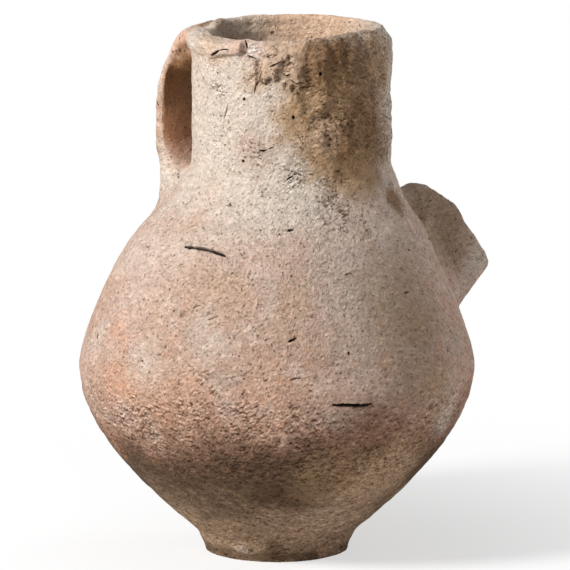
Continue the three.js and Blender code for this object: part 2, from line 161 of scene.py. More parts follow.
def noise(places, size, seed):
    """Smooth noise from -1 to 1 whose bumps are about one size across."""
    scaled = places / size
    cells = np.floor(scaled).astype(np.int64)
    part = scaled - cells
    share = part * part * (3 - 2 * part)
    total = np.zeros(len(places))
    for corner in np.ndindex(2, 2, 2):
        weight = np.prod(np.where(corner, share, 1 - share), axis=1)
        total += weight * lattice(cells + np.array(corner), seed)
    return total


def layered(places, size, seed, layers=3):
    """Noise with finer and weaker layers on it. Each use has seeds of its own, so that no two look alike."""
    total = np.zeros(len(places))
    for layer in range(layers):
        total += noise(places, size / 2**layer, seed + layer) / 2**layer
    return total


def rise(values, low, high):
    """0 up to low, 1 from high on, and smooth between them."""
    share = np.clip((values - low) / (high - low), 0, 1)
    return share * share * (3 - 2 * share)


# Meshes

def linked(name, data):
    """An object of the scene that holds some data."""
    made = bpy.data.objects.new(name, data)
    bpy.context.collection.objects.link(made)
    return made


def new_object(name, points, faces):
    mesh = bpy.data.meshes.new(name)
    mesh.from_pydata(np.asarray(points).tolist(), [], faces)
    return linked(name, mesh)


def settle(piece):
    """Takes the piece's modifiers into its mesh."""
    scene_state = bpy.context.evaluated_depsgraph_get()
    result = bpy.data.meshes.new_from_object(piece.evaluated_get(scene_state))
    piece.modifiers.clear()
    before = piece.data
    piece.data = result
    bpy.data.meshes.remove(before)


def carve(piece, tool, operation):
    change = piece.modifiers.new(operation, "BOOLEAN")
    change.operation = operation
    change.object = tool
    change.solver = "MANIFOLD"
    settle(piece)


def drop(*objects):
    for thing in objects:
        bpy.data.objects.remove(thing)


def read_points(mesh, kind="co"):
    values = np.empty(len(mesh.vertices) * 3, np.float32)
    if kind == "co":
        mesh.vertices.foreach_get("co", values)
    else:
        mesh.vertex_normals.foreach_get("vector", values)
    return values.reshape(-1, 3).astype(float)


def write_points(mesh, points):
    mesh.vertices.foreach_set("co", points.astype(np.float32).ravel())
    mesh.update()


def read_edges(mesh):
    ends = np.empty(len(mesh.edges) * 2, np.int32)
    mesh.edges.foreach_get("vertices", ends)
    return ends.reshape(-1, 2)


def relax(points, edges, steps, pull=1.0):
    """Moves each point towards the middle of its neighbours, by each of the steps in turn."""
    count = len(points)
    degree = np.bincount(edges.ravel(), minlength=count)[:, None]
    one, other = edges.T
    for step in steps:
        total = np.stack([
            np.bincount(one, points[other, axis], count) + np.bincount(other, points[one, axis], count)
            for axis in range(3)
        ], axis=1)
        points = points + (total / degree - points) * step * pull
    return points


def turns_of(sides):
    """The angles of a ring's corners."""
    return np.arange(sides) * 2 * math.pi / sides


def tube(name, corners, sides, flipped=False):
    """A closed solid from the corners of its rings, one ring after another, with a flat face at each end."""
    faces = []
    for start in range(0, len(corners) - sides, sides):
        for turn in range(sides):
            after = (turn + 1) % sides
            faces.append((start + turn, start + after, start + sides + after, start + sides + turn))
    ends = [tuple(reversed(range(sides))), tuple(range(len(corners) - sides, len(corners)))]
    if flipped:
        faces = [(one, four, three, two) for one, two, three, four in faces]
        ends = [end[::-1] for end in ends]
    return new_object(name, corners, faces + ends)


SMOOTH = [0.5, -0.53]    # a step in and a step back out, so that the form doesn't shrink


# The jug's outline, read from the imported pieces

def tree_of(names):
    points, faces = [], []
    for name in names:
        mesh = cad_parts[name].data
        start = len(points)
        points += [vertex.co.copy() for vertex in mesh.vertices]
        faces += [[start + index for index in face.vertices] for face in mesh.polygons]
    return BVHTree.FromPolygons(points, faces)


TURNED_NODES = ["foot_disc", "lower_body", "upper_body", "neck_coil", "neck", "lip_band"]
turned_tree = tree_of(TURNED_NODES)
NECK_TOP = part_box("neck")[1].z
JUG_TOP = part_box("lip_band")[1].z
FOOT_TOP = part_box("foot_disc")[1].z
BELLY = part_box("lower_body")[1].z
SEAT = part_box("upper_body")[1].z


def hit_along(origin, direction):
    place = turned_tree.ray_cast(origin, direction)[0]
    return None if place is None else place.dot(RIGHT)


def outline():
    """At each height: the outer radius, the inner radius and how far the middle stands to the right."""
    # A hair in front of the middle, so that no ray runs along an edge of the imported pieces
    off_edge = AHEAD.cross(Vector((0, 0, 1))).cross(Vector((0, 0, 1))) * 0.05 * MM
    rows = []
    middle = 0.0
    for height in np.arange(RING_MARGIN, JUG_TOP - RING_MARGIN, RING_STEP):
        level = Vector((0, 0, height)) + off_edge
        right = hit_along(level + RIGHT * BEYOND, -RIGHT)
        if height < NECK_TOP:
            left = hit_along(level - RIGHT * BEYOND, RIGHT)
            middle = (right + left) / 2
        inner = hit_along(level + RIGHT * middle, RIGHT)
        hollow = inner is not None and inner < right - MM
        rows.append((height, right - middle, inner - middle if hollow else 0.0, middle))
    return np.array(rows)


heights, outer_radii, inner_radii, middles = outline().T
hollow_rows = inner_radii > 0


def evened(values, reach=2):
    """Values along the outline with their corners eased."""
    padded = np.pad(values, reach, mode="edge")
    kernel = np.hanning(2 * reach + 3)[1:-1]
    return np.convolve(padded, kernel / kernel.sum(), mode="valid")


outer_radii = evened(outer_radii) - SKIN_SHRINK
middles = evened(middles, 4)
inner_radii[hollow_rows] = evened(inner_radii[hollow_rows])
outer_radii = outer_radii - LIP_ROUND_DEPTH * rise(heights, JUG_TOP - LIP_ROUND_HEIGHT, JUG_TOP)


def skin_radius(z):
    return np.interp(z, heights, outer_radii)


def middle_at(z):
    return np.interp(z, heights, middles)[..., None] * np.array(RIGHT)[:2]


def depth_in_skin(points):
    """How far points stand outside the jug's outer skin, measured level."""
    away = points[:, :2] - middle_at(points[:, 2])
    return np.hypot(*away.T) - skin_radius(points[:, 2])


def turned_solid(name, levels, radii):
    """A closed solid turned about the jug's leaning middle, from a ring at its start to one at its end."""
    angles = turns_of(TURNS)
    circle = np.stack([np.cos(angles), np.sin(angles)], axis=1)
    rings = []
    for level, radius in zip(levels, radii):
        ring = middle_at(np.array(level)) + circle * radius
        rings.append(np.column_stack([ring, np.full(TURNS, level)]))
    return tube(name, np.concatenate(rings), TURNS)


def jug_wall():
    """The turned part of the jug: up its outside, over the lip and down its inside to the floor."""
    up = [(0, outer_radii[0] - EDGE_ROUND)] + list(zip(heights, outer_radii))
    down = list(zip(heights[hollow_rows], inner_radii[hollow_rows]))[::-1]
    crest_level = JUG_TOP - 0.2 * MM
    crest = [(crest_level, outer_radii[-1] - EDGE_ROUND), (crest_level, down[0][1] + EDGE_ROUND)]
    floor = [(down[-1][0] - MM, down[-1][1] * 0.6)]
    levels, radii = zip(*(up + crest + down + floor))
    return turned_solid("wall", levels, radii)


def filled_skin(grow):
    """The outer skin as one filled solid, grown by a distance."""
    levels = [-OVERSHOOT] + list(heights) + [JUG_TOP + OVERSHOOT]
    radii = np.concatenate([outer_radii[:1], outer_radii, outer_radii[-1:]]) + grow
    return turned_solid("filled", levels, radii)


def added_clay(name):
    """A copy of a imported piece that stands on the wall, swollen a little so that it closes its seam."""
    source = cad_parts[name].data
    corners = [tuple(vertex.co) for vertex in source.vertices]
    made = new_object("added_" + name, corners, [tuple(face.vertices) for face in source.polygons])
    weld = made.modifiers.new("weld", "WELD")
    weld.merge_threshold = 0.01 * MM
    settle(made)
    write_points(made.data, read_points(made.data) + read_points(made.data, "normal") * SEAM_FILL)
    return made


def joined(name, objects):
    points, faces = [], []
    for thing in objects:
        start = sum(len(part) for part in points)
        points.append(read_points(thing.data))
        faces += [tuple(start + index for index in face.vertices) for face in thing.data.polygons]
    made = new_object(name, np.concatenate(points), faces)
    drop(*objects)
    return made


# The form as one mesh

ADDED_NODES = ["handle", "handle_coil", "handle_lap", "spout", "spout_coil"]
jug = joined("jug", [jug_wall()] + [added_clay(name) for name in ADDED_NODES])
remesh = jug.modifiers.new("even", "REMESH")
remesh.mode = "VOXEL"
remesh.voxel_size = VOXEL
settle(jug)

points = read_points(jug.data)
edges = read_edges(jug.data)
points = relax(points, edges, SMOOTH * 3)


def beyond_box(points, low, high):
    """How far points stand outside a box, along the axis on which that is most."""
    return np.maximum(np.array(low) - points, points - np.array(high)).max(axis=1)


def wiped(points, low, high, strength, rounds):
    """Smooths the points in a box, as a thumb wipes wet clay where handle, spout and lap meet the wall."""
    pull = (1 - rise(beyond_box(points, low, high), 0, 3 * MM)) * strength
    near = pull > 0
    used, near_edges = np.unique(edges[near[edges].any(axis=1)], return_inverse=True)
    moved = points.copy()
    moved[used] = relax(points[used], near_edges.reshape(-1, 2), [0.5] * rounds, pull[used][:, None])
    return moved


lap_low, lap_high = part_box("handle_lap")
points = wiped(points, *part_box("handle_coil"), 1, 16)
points = wiped(points, *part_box("spout_coil"), 1, 12)
points = wiped(points, lap_low, lap_high, 0.7, 10)
handle_top_low = (lap_low.x, lap_high.y - 12 * MM, lap_low.z - 6 * MM)
handle_top_high = (lap_high.x + 26 * MM, lap_high.y + 12 * MM, lap_high.z)
points = wiped(points, handle_top_low, handle_top_high, 1, 26)
write_points(jug.data, points)

jug_tree = BVHTree.FromObject(jug, bpy.context.evaluated_depsgraph_get())


def surface_at(column, row):
    """The place on the jug, and the direction out of it, that the photograph shows at a column and row."""
    place, out, _, _ = jug_tree.ray_cast(CAMERA_PLACE, ray_through(column, row))
    if place is None:
        raise ValueError(f"nothing of the jug is at {column}, {row}")
    return np.array(place), np.array(out)


def level_out(places):
    """The level direction away from the jug's middle."""
    away = places[:, :2] - middle_at(places[:, 2])
    away /= np.linalg.norm(away, axis=1)[:, None]
    return np.column_stack([away, np.zeros(len(places))])


def turn_from_back(places):
    """The angle round the jug's middle, 0 opposite the spout and a quarter turn at the handle."""
    away = level_out(places)
    return np.arctan2(away[:, 1], -away[:, 0])


# The lap is a ribbon of smeared clay. Below its edge the clay is pressed flat on the neck.
LAP_EDGE = [(203, 44), (207, 52), (210, 55.5), (215, 52.5), (222, 50), (232, 51), (247, 50), (258, 54)]
edge_places = np.array([surface_at(column, row)[0] for column, row in LAP_EDGE])
edge_turns = turn_from_back(edge_places)
in_order = np.argsort(edge_turns)
turns = turn_from_back(points)
depth = depth_in_skin(points)
below_edge = np.interp(turns, edge_turns[in_order], edge_places[in_order, 2]) - points[:, 2]
pressed = rise(below_edge, -0.6 * MM, 0.6 * MM) * (depth > 0) * (depth < 4 * MM)
pressed *= rise(turns, edge_turns.min() - 0.1, edge_turns.min())
pressed *= 1 - rise(turns, edge_turns.max(), edge_turns.max() + 0.12)
pressed *= points[:, 2] > lap_low.z - 5 * MM
points -= level_out(points) * (pressed * depth)[:, None]

# The handle is thick where it leaves the lip: its underside hangs lower there, and its back stands higher.
outward = read_points(jug.data, "normal")
on_strap = rise(depth, 0.5 * MM, 2.5 * MM) * (points[:, 1] > STRAP_START)
hangs = rise(-outward[:, 2], 0.1, 0.7) * rise(points[:, 2], 173 * MM, 182 * MM)
hangs *= 1 - rise(points[:, 1], 40 * MM, 50 * MM)
stands = rise(outward[:, 2], 0.1, 0.6) * rise(points[:, 2], 187 * MM, 191 * MM)
points[:, 2] += (STRAP_RISE * stands - STRAP_SAG * hangs) * on_strap

# The corner of the arch under it is nearly square
to_corner = np.array([0, 0.7, 0.7])
scooped = rise(-(outward @ to_corner), 0.45, 0.95) * on_strap
scooped *= rise(points[:, 2], 152 * MM, 168 * MM) * rise(points[:, 1], 38 * MM, 46 * MM)
points += scooped[:, None] * to_corner * STRAP_SCOOP
handle_low, handle_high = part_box("handle")
points = wiped(points, (handle_low.x, 26 * MM, 172 * MM), (handle_high.x, 46 * MM, 190 * MM), 1, 8)
write_points(jug.data, points)

# How the surface is roughened. Each displacement is along the surface's own direction out.
outward = read_points(jug.data, "normal")
depth = depth_in_skin(points)
is_outside = (depth > -OUTSIDE_DEPTH) | (points[:, 2] < FOOT_TOP)
on_neck = rise(points[:, 2], SEAT, SEAT + 12 * MM)
under_belly = 1 - rise(points[:, 2], 20 * MM, 60 * MM)
near_lap = 1 - rise(beyond_box(points, lap_low, lap_high), 0, 6 * MM)
rough = np.clip(0.25 + 0.75 * on_neck + 0.35 * under_belly, 0, 1)
coarse = rise(points[:, 2], 32 * MM, 44 * MM) * (1 - rise(points[:, 2], 60 * MM, 74 * MM))

shift = layered(points, 46 * MM, 1, 2) * 0.3 * MM
shift += layered(points, 17 * MM, 5, 2) * (0.12 + 0.16 * on_neck) * MM
shift += layered(points, 6 * MM, 9, 3) * (0.08 + 0.15 * rough) * MM
shift += layered(points, 2.4 * MM, 14, 2) * (0.06 + 0.09 * rough + 0.07 * coarse) * MM
shift += near_lap * (layered(points * [1, 1, 1.6], 7 * MM, 17, 2) - 0.2) * 0.5 * MM

# Wheel lines: level, faint, and broken up
wheel = np.sin(points[:, 2] / (1.05 * MM) + 2.5 * noise(points, 30 * MM, 21))
wheel_strength = rise(noise(points * [0.3, 0.3, 1], 9 * MM, 22), -0.2, 0.6)
shift += wheel * wheel_strength * np.where(is_outside, 0.025 + 0.035 * under_belly, 0.16) * MM


def zone(column, row, radius, fray, solid):
    """1 within a share of a zone's radius, falling to 0 at its edge, which the fray moves in and out."""
    away = np.linalg.norm(points - surface_at(column, row)[0], axis=1) + fray
    return 1 - rise(away, solid * radius * MM, radius * MM)


# Zones of flaking: column, row, radius in millimetres, depth in millimetres
FLAKES = [
    (268, 68, 13, 1.1),
    (290, 80, 13, 1.0),
    (212, 86, 9, 0.35),
    (258, 152, 9, 0.6),
    (282, 182, 12, 0.45),
    (322, 128, 12, 0.3),
    (334, 190, 12, 0.3),
    (345, 218, 12, 0.2),
    (290, 440, 22, 0.25),
    (220, 425, 26, 0.25),
    (140, 425, 18, 0.2),
]
flaked = np.zeros(len(points))
crumbs = rise(layered(points, 3.4 * MM, 31, 3), -0.1, 0.35)
flake_fray = noise(points, 7 * MM, 33) * 4 * MM
for column, row, radius, deep in FLAKES:
    near = zone(column, row, radius, flake_fray, 0.35)
    shift -= near * crumbs * deep * MM
    flaked = np.maximum(flaked, near * crumbs)

# Smears of thicker clay on the neck: column, row, radius and height in millimetres
SMEARS = [
    (322, 62, 13, 1.6),
    (350, 88, 15, 1.6),
    (318, 98, 9, 1.3),
    (333, 136, 8, 1.1),
    (366, 58, 9, 1.0),
    (362, 128, 8, 0.9),
]
streaks = layered(points * [1, 1, 0.7], 4.5 * MM, 81, 3)
smear_fray = layered(points, 8 * MM, 83, 2) * 3 * MM
smeared = np.zeros(len(points))
for column, row, radius, high in SMEARS:
    near = zone(column, row, radius, smear_fray, 0.8)
    smeared = np.maximum(smeared, near * (0.5 + 0.6 * streaks) * high * MM)
shift += smeared

# The clay of the neck's right side was pressed on unevenly
towards_spout = -np.degrees(turns)
thick = rise(towards_spout, 38, 62) * (1 - rise(towards_spout, 150, 175))
thick *= rise(points[:, 2], 146 * MM, 158 * MM)
shift += thick * (layered(points, 9 * MM, 85, 3) * 0.8 + streaks * 0.3) * MM

# The same wear on the sides that the photograph doesn't show
facing_camera = rise(-(outward @ np.array(AHEAD)), 0, 0.3)
hidden_wear = rise(layered(points, 34 * MM, 41, 2), 0.25, 0.8) * (0.4 + 0.6 * on_neck)
hidden_wear = hidden_wear * (1 - facing_camera) * is_outside
shift -= hidden_wear * crumbs * 0.45 * MM
flaked = np.maximum(flaked, hidden_wear * crumbs)


# Pits that sand and straw have left

def sunk_pits(count, small, large, weights):
    """Sinks pits at random places, chosen by weight. Radii are in millimetres, and most are small."""
    chosen = random.choice(len(points), count, p=weights / weights.sum())
    radii = small + (large - small) * random.random(count) ** 3
    for index, radius in zip(chosen, radii):
        for _, near, distance in point_tree.find_range(points[index], radius * MM):
            share = 1 - (distance / (radius * MM)) ** 2
            sink = PIT_DEPTH * radius * MM * share * share
            pitted[near] = max(pitted[near], sink)


def tree_of_points(places):
    tree = KDTree(len(places))
    for index, place in enumerate(places):
        tree.insert(place, index)
    tree.balance()
    return tree


point_tree = tree_of_points(points)
pitted = np.zeros(len(points))
pitting = 0.15 + 0.9 * on_neck + 2.2 * flaked + 0.9 * under_belly + coarse
sunk_pits(1100, 0.7, 1.25, is_outside * pitting)
sunk_pits(36, 1.2, 1.9, is_outside * (0.3 + on_neck))
sunk_pits(300, 0.8, 1.5, (~is_outside).astype(float))
shift -= pitted

points = points + outward * shift[:, None]

# The lip's uneven crest. The marks give the angle from the back in degrees and the lift in millimetres.
CREST_MARKS = [
    (-180, 0.3), (-146, 0), (-116, 0.8), (-90, 1.5), (-60, 0), (-36, 0.3), (-26, 0), (-17, 0.9), (-8, -1.0),
    (8, -1.5), (20, -1.2), (45, -1.0), (56, -1.9), (69, -2.2), (75, 0), (80, 0.9), (84, 0.6), (90, 0.2),
    (96, 0.5), (102, 0.7), (108, 0.4), (114, 0.1), (120, 0.2), (126, 0.4), (140, 0.5), (180, 0.3),
]
mark_turns, mark_lifts = np.array(CREST_MARKS).T
crest_share = rise(points[:, 2], NECK_TOP - 6 * MM, JUG_TOP)
to_right = (points @ np.array(RIGHT)) / outer_radii[-1]
to_front = -(points[:, :2] @ np.array(AHEAD)[:2]) / outer_radii[-1]

# Where the lip is worn lowest, at the front
dip = 2.2 * rise(to_front, 0.1, 0.95) * (1 - rise(to_right, 0.45, 0.85))
dip += 0.1 + 0.3 * layered(points, 11 * MM, 51, 2) * rise(to_front, -0.8, 0)
dip += 0.9 * rise(noise(points, 21 * MM, 53), 0.2, 0.9) * rise(to_front, -0.4, 0.4)
lift = np.interp(np.degrees(turn_from_back(points)), mark_turns, mark_lifts)
off_strap = 1 - rise(depth_in_skin(points), 2 * MM, 5 * MM)
points[:, 2] += crest_share * off_strap * (lift - np.clip(dip, 0, 3)) * MM

# The spout's broken edges
spout_low, spout_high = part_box("spout")
past_skin = rise(depth_in_skin(points), 3 * MM, 9 * MM) * (points[:, 0] > spout_low.x)
past_skin = past_skin * (np.abs(points[:, 1]) < 1.3 * spout_high.y)
for axis in range(3):
    points[:, axis] += past_skin * layered(points, 6 * MM, 61 + axis, 3) * 0.5 * MM

# The foot stands flat, with a worn edge
is_sole = (points[:, 2] < 0.9 * MM) & (outward[:, 2] < -0.6)
points[is_sole, 2] = 0
foot_wear = (1 - rise(points[:, 2], 2 * MM, 7 * MM)) * ~is_sole
chips = rise(layered(points, 9 * MM, 71, 2), 0, 0.6) * foot_wear
points[:, :2] *= 1 - chips[:, None] * 0.022

points = np.clip(points, *(np.array(corner) for corner in cad_box))
write_points(jug.data, points)
jug_tree = BVHTree.FromObject(jug, bpy.context.evaluated_depsgraph_get())
skin_tree = tree_of_points(points)

# The handle's inner face, darkened where it faces the neck: painted shade, partly a fire-darkened colour too
outward = read_points(jug.data, "normal")
facing_in = np.maximum(-(outward * level_out(points)).sum(axis=1), -outward[:, 2])
soot_and_shade = rise(facing_in, -0.15, 0.3) * rise(depth, 1 * MM, 3 * MM) * (points[:, 1] > STRAP_START)
soot_and_shade *= rise(points[:, 2] + noise(points, 8 * MM, 91) * 3 * MM, 141 * MM, 154 * MM)


# Voids left by burnt straw, cracks and holes: each is cut along a line of places in the photograph

def groove(track, width, deep):
    """A closed cutter along a track of (column, row), with its width and depth in millimetres."""
    marks = [surface_at(column, row) for column, row in track]
    line = []
    for start, end in zip(marks, marks[1:]):
        for share in np.linspace(0, 1, GROOVE_STEPS + 1)[:-1]:
            line.append([a + (b - a) * share for a, b in zip(start, end)])
    line.append(list(marks[-1]))
    places = np.array([place for place, _ in line])
    out = np.array([direction for _, direction in line])
    out = out.mean(axis=0) / np.linalg.norm(out.mean(axis=0))
    along = np.gradient(places, axis=0)
    side = np.cross(along, out)
    side /= np.linalg.norm(side, axis=1)[:, None]
    count = len(places)
    taper = np.sin(np.linspace(GROOVE_END, math.pi - GROOVE_END, count)) ** 0.4
    wobble = 1 + 0.55 * (random.random(count) - 0.5)
    rings = []
    for turn in turns_of(GROOVE_SIDES):
        across = side * (width / 2 * MM * taper * wobble)[:, None] * math.cos(turn)
        inward = out * (deep * MM * taper)[:, None] * math.sin(turn)
        rings.append(places + across + inward)
    return tube("groove", np.stack(rings, axis=1).reshape(-1, 3), GROOVE_SIDES, flipped=True)


def hole(column, row, width, deep):
    return groove([(column - width, row + 0.3), (column, row), (column + width, row - 0.4)], width, deep)


def strainer_holes():
    """Cutters for the holes pierced through the shoulder from the trough: one, and a ring round it."""
    out = np.array([math.cos(SPOUT_AZIMUTH), math.sin(SPOUT_AZIMUTH), 0])
    side = np.array([math.sin(SPOUT_AZIMUTH), -math.cos(SPOUT_AZIMUTH), 0])
    height = np.array([0, 0, 1])
    along = out * math.cos(SPOUT_TILT) + height * math.sin(SPOUT_TILT)
    up = height * math.cos(SPOUT_TILT) - out * math.sin(SPOUT_TILT)
    root = out * skin_radius(SPOUT_ROOT_HEIGHT) + height * SPOUT_ROOT_HEIGHT
    middle = root + up * (SPOUT_HALF_WIDTH + STRAINER_RISE)
    places = [middle]
    for turn in turns_of(STRAINER_RING_HOLES) + random.normal(0, 0.07, STRAINER_RING_HOLES):
        ring = STRAINER_RING * (1 + random.normal(0, 0.05))
        places.append(middle + ring * (up * math.cos(turn) + side * math.sin(turn)))
    holes = []
    for place in places:
        radius = STRAINER_HOLE * (1 + random.normal(0, 0.06))
        corners = []
        for reach in (STRAINER_START, STRAINER_END):
            for turn in turns_of(STRAINER_HOLE_SIDES):
                corners.append(place + along * reach + radius * (up * math.cos(turn) + side * math.sin(turn)))
        holes.append(tube("hole", corners, STRAINER_HOLE_SIDES))
    return holes


# Each void and each crack: its track, its width and its depth in millimetres
STRAW_VOIDS = [
    (
        [(184.5, 247), (189, 247.2), (196, 248), (204, 249.5), (212, 251.2), (219, 253.5), (226, 256.5)],
        1.7, 2.8,
    ),
    ([(332, 405), (337, 405.5), (345, 405.5), (357, 406), (366, 405.5), (372, 403.5)], 1.6, 2.6),
    ([(288, 342), (292, 340), (297, 337.5)], 1.0, 1.6),
    ([(287, 231), (290, 230), (294, 229.5)], 1.3, 1.6),
    ([(188, 228), (194, 226), (199, 225)], 0.6, 0.6),
    ([(208, 320), (213, 318), (219, 315.5)], 0.6, 0.7),
    ([(193, 308), (196, 306.5), (200, 305)], 0.6, 0.7),
    ([(264, 341), (270, 338)], 0.7, 0.8),
    ([(263, 381), (268, 380)], 0.8, 0.9),
    ([(290, 380), (295, 378.5), (300, 378)], 0.8, 0.9),
    ([(404, 293), (409, 292)], 0.8, 0.9),
    ([(309, 174), (314, 175)], 0.7, 0.8),
]
CRACKS = [
    ([(262, 71), (259.5, 77), (256.5, 84), (254, 93)], 0.8, 1.6),
    ([(210.5, 55.5), (214, 53.5), (219, 50.5)], 1.2, 2.2),
    ([(219, 50.5), (223, 49.5), (229, 49.5)], 0.6, 1.2),
    ([(245.5, 40), (246.5, 44), (247.5, 48.5)], 0.9, 1.4),
    ([(247, 55), (252, 57), (257, 59)], 0.6, 1.2),
    ([(270, 67), (275, 65), (281, 61.5)], 1.0, 2.0),
    ([(281, 73), (286, 76), (290, 74)], 0.7, 1.4),
    ([(291, 80), (296, 84), (301, 82)], 0.7, 1.4),
    ([(259, 150.5), (263, 151), (267, 150)], 0.9, 1.4),
    ([(268, 149), (271, 148), (274, 147)], 0.6, 1.0),
    ([(285, 181), (289, 178), (293, 176)], 0.7, 1.3),
    ([(294, 174.5), (299, 174), (303, 176)], 0.5, 1.0),
    ([(224, 119), (226, 112), (228, 105)], 0.8, 0.9),
    ([(387, 146), (387, 155), (386.5, 163)], 1.0, 1.0),
]

# Each hole: column, row, width and depth in millimetres
HOLES = [
    (349, 353, 1.3, 2.0),
    (429, 239, 1.0, 1.4),
    (244, 99, 1.4, 2.2),
    (293.5, 117.5, 1.6, 2.0),
    (320.5, 74, 1.7, 1.8),
    (243, 161, 1.5, 1.8),
    (311, 40.5, 1.0, 1.2),
    (225, 145, 0.9, 1.2),
    (291.5, 276, 0.9, 1.2),
    (266, 84, 1.2, 1.2),
    (357, 146, 1.0, 1.2),
    (176, 336, 0.8, 1.0),
    (239, 356, 0.8, 1.0),
    (375, 53, 1.0, 1.0),
    (173, 52, 0.9, 1.0),
]
cutters = [groove(*void) for void in STRAW_VOIDS + CRACKS]
cutters += [hole(*spot) for spot in HOLES]
cutters += strainer_holes()


# Cutting the skin into closed pieces

def box_solid(name, low, high):
    corners = [(x, y, z) for x in (low[0], high[0]) for y in (low[1], high[1]) for z in (low[2], high[2])]
    faces = [(0, 1, 3, 2), (4, 6, 7, 5), (0, 4, 5, 1), (2, 3, 7, 6), (0, 2, 6, 4), (1, 5, 7, 3)]
    return new_object(name, corners, faces)


def outside_region(nodes):
    """The space round some nodes that lies outside the skin."""
    corners = [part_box(node) for node in nodes]
    low = np.min([np.array(box[0]) for box in corners], axis=0) - REGION_MARGIN
    high = np.max([np.array(box[1]) for box in corners], axis=0) + REGION_MARGIN
    region = box_solid("region", low, high)
    skin = filled_skin(REGION_SKIN)
    carve(region, skin, "DIFFERENCE")
    drop(skin)
    return region


def part_of(whole, name, region):
    piece = linked(name, whole.data.copy())
    carve(piece, region, "INTERSECT")
    return piece


grooves = joined("grooves", cutters)
carve(jug, grooves, "DIFFERENCE")
drop(grooves)

STANDING_OUT = {"fired_handle": ["handle", "handle_coil"], "fired_spout": ["spout", "spout_coil"]}
regions = {name: outside_region(nodes) for name, nodes in STANDING_OUT.items()}
pieces = {name: part_of(jug, name, region) for name, region in regions.items()}
for region in regions.values():
    carve(jug, region, "DIFFERENCE")
drop(*regions.values())

LEVELS = [
    ("fired_foot", -BEYOND, FOOT_TOP),
    ("fired_lower_body", FOOT_TOP, BELLY),
    ("fired_upper_body", BELLY, SEAT),
    ("fired_neck", SEAT, NECK_TOP),
    ("fired_lip", NECK_TOP, BEYOND),
]
for name, bottom, top in LEVELS:
    slab = box_solid("slab", (-BEYOND, -BEYOND, bottom), (BEYOND, BEYOND, top))
    pieces[name] = part_of(jug, name, slab)
    drop(slab)
drop(jug)


def connected_to(start):
    """The points of a mesh that are joined to one point by edges, that point among them."""
    found = {start}
    waiting = [start]
    while waiting:
        for edge in waiting.pop().link_edges:
            for point in edge.verts:
                if point not in found:
                    found.add(point)
                    waiting.append(point)
    return found


def clear_of_flakes(piece):
    """Takes off the tiny flaps and loose flakes that cutting and thinning have left on a piece's mesh."""
    shape = bmesh.new()
    shape.from_mesh(piece.data)
    flaps = []
    for face in shape.faces:
        shared = [len(edge.link_faces) for edge in face.edges]
        if min(shared) == 1 and max(shared) > 2:
            flaps.append(face)
    bmesh.ops.delete(shape, geom=flaps, context="FACES")
    unseen = set(shape.verts)
    flakes = []
    for point in shape.verts:
        if point in unseen:
            part = connected_to(point)
            unseen -= part
            if len(part) < SMALLEST_PART:
                flakes += part
    bmesh.ops.delete(shape, geom=flakes, context="VERTS")
    shape.to_mesh(piece.data)
    shape.free()


# The clay's material

def shade(*channels):
    """A colour as it is seen, turned into the values that light works on."""
    return tuple(((c + 0.055) / 1.055) ** 2.4 if c > 0.04045 else c / 12.92 for c in channels) + (1,)


PINK = shade(0.83, 0.705, 0.64)
BUFF = shade(0.80, 0.67, 0.59)
CREAM = shade(0.88, 0.82, 0.76)
TAN = shade(0.76, 0.62, 0.47)
DARK_TAN = shade(0.56, 0.42, 0.285)
BROWN = shade(0.42, 0.32, 0.23)
UMBER = shade(0.36, 0.25, 0.17)
FOOT_BROWN = shade(0.75, 0.63, 0.51)
ORANGE = shade(0.84, 0.63, 0.50)
GREY = shade(0.79, 0.72, 0.66)
PALE = shade(0.89, 0.80, 0.74)
WARM_SAND = shade(0.93, 0.79, 0.67)
PEACH = shade(0.90, 0.74, 0.65)
# Painted shade on the handle's inner face, partly a fire-darkened colour
SOOT_AND_SHADE = shade(0.56, 0.41, 0.28)
SAND = shade(0.84, 0.71, 0.60)
SOIL = shade(0.25, 0.18, 0.12)
# Painted shade inside voids, cracks and pits
VOID_SHADE = shade(0.15, 0.105, 0.07)
DUN = shade(0.66, 0.56, 0.455)
RUST = shade(0.62, 0.44, 0.33)
WHITE = shade(0.93, 0.90, 0.86)
# Painted shade under grains and painted light on them
GRAIN_SHADE = shade(0.56, 0.46, 0.36)
GRAIN_LIGHT = shade(1.24, 1.26, 1.28)


